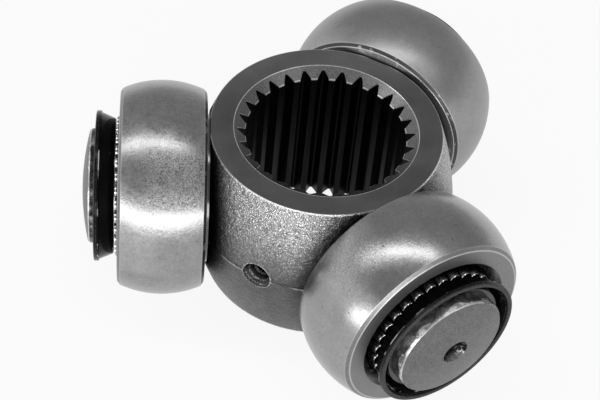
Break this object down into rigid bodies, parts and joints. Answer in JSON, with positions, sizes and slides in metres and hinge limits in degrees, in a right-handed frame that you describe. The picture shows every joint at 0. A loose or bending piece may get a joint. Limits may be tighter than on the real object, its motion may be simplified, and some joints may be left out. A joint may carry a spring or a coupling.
{
  "type": "tripod constant-velocity joint spider",
  "caption": "Tripod spider for a constant-velocity joint: splined hub with three trunnions, each carrying a crowned roller on needle bearings behind a black retainer cup.",
  "frame": {"origin": "joint centre, where the shaft axis meets the plane of the three trunnion axes", "axes": "+Z along the shaft out of the spline's leaded mouth, trunnion a along -X, trunnions b and c at 300 and 60 degrees about +Z"},
  "size_m": [0.0729, 0.0804, 0.037],
  "materials": {
    "forged_steel": "shot-blasted forging with machined faces and ground journals",
    "roller_steel": "ground satin steel, lightly mottled",
    "needle_steel": "polished bearing steel",
    "washer_steel": "bright rolled steel",
    "black_steel": "glossy black oxide on pressed sheet",
    "spring_steel": "dark oiled spring steel"
  },
  "bodies": {
    "spider": {"spider": "forged_steel", "retainer_a": "black_steel", "retainer_b": "black_steel", "retainer_c": "black_steel", "snap_ring_a": "spring_steel", "snap_ring_b": "spring_steel", "snap_ring_c": "spring_steel"},
    "washer_a": {"inner_washer_a": "washer_steel"},
    "washer_b": {"inner_washer_b": "washer_steel"},
    "washer_c": {"inner_washer_c": "washer_steel"},
    "roller_a": {"roller_a": "roller_steel"},
    "roller_b": {"roller_b": "roller_steel"},
    "roller_c": {"roller_c": "roller_steel"},
    "needles_a": {"needles_a": "needle_steel"},
    "needles_b": {"needles_b": "needle_steel"},
    "needles_c": {"needles_c": "needle_steel"}
  },
  "joints": [
    {"name": "roller_spin_a", "type": "hinge", "parent": "spider", "child": "washer_a", "pos_m": [-0.0274, 0, 0], "axis": [-1, 0, 0], "continuous": true},
    {"name": "roller_slide_a", "type": "slide", "parent": "washer_a", "child": "roller_a", "axis": [-1, 0, 0], "range_m": [-0.0002, 0.003]},
    {"name": "needle_spin_a", "type": "hinge", "parent": "spider", "child": "needles_a", "pos_m": [-0.0274, 0, 0], "axis": [-1, 0, 0], "continuous": true},
    {"name": "roller_spin_b", "type": "hinge", "parent": "spider", "child": "washer_b", "pos_m": [0.0137, -0.02373, 0], "axis": [0.5, -0.866, 0], "continuous": true},
    {"name": "roller_slide_b", "type": "slide", "parent": "washer_b", "child": "roller_b", "axis": [0.5, -0.866, 0], "range_m": [-0.0002, 0.003]},
    {"name": "needle_spin_b", "type": "hinge", "parent": "spider", "child": "needles_b", "pos_m": [0.0137, -0.02373, 0], "axis": [0.5, -0.866, 0], "continuous": true},
    {"name": "roller_spin_c", "type": "hinge", "parent": "spider", "child": "washer_c", "pos_m": [0.0137, 0.02373, 0], "axis": [0.5, 0.866, 0], "continuous": true},
    {"name": "roller_slide_c", "type": "slide", "parent": "washer_c", "child": "roller_c", "axis": [0.5, 0.866, 0], "range_m": [-0.0002, 0.003]},
    {"name": "needle_spin_c", "type": "hinge", "parent": "spider", "child": "needles_c", "pos_m": [0.0137, 0.02373, 0], "axis": [0.5, 0.866, 0], "continuous": true}
  ],
  "couplings": [
    {"joint": "needle_spin_a", "follows": "roller_spin_a", "ratio": 0.5526},
    {"joint": "needle_spin_b", "follows": "roller_spin_b", "ratio": 0.5526},
    {"joint": "needle_spin_c", "follows": "roller_spin_c", "ratio": 0.5526}
  ]
}
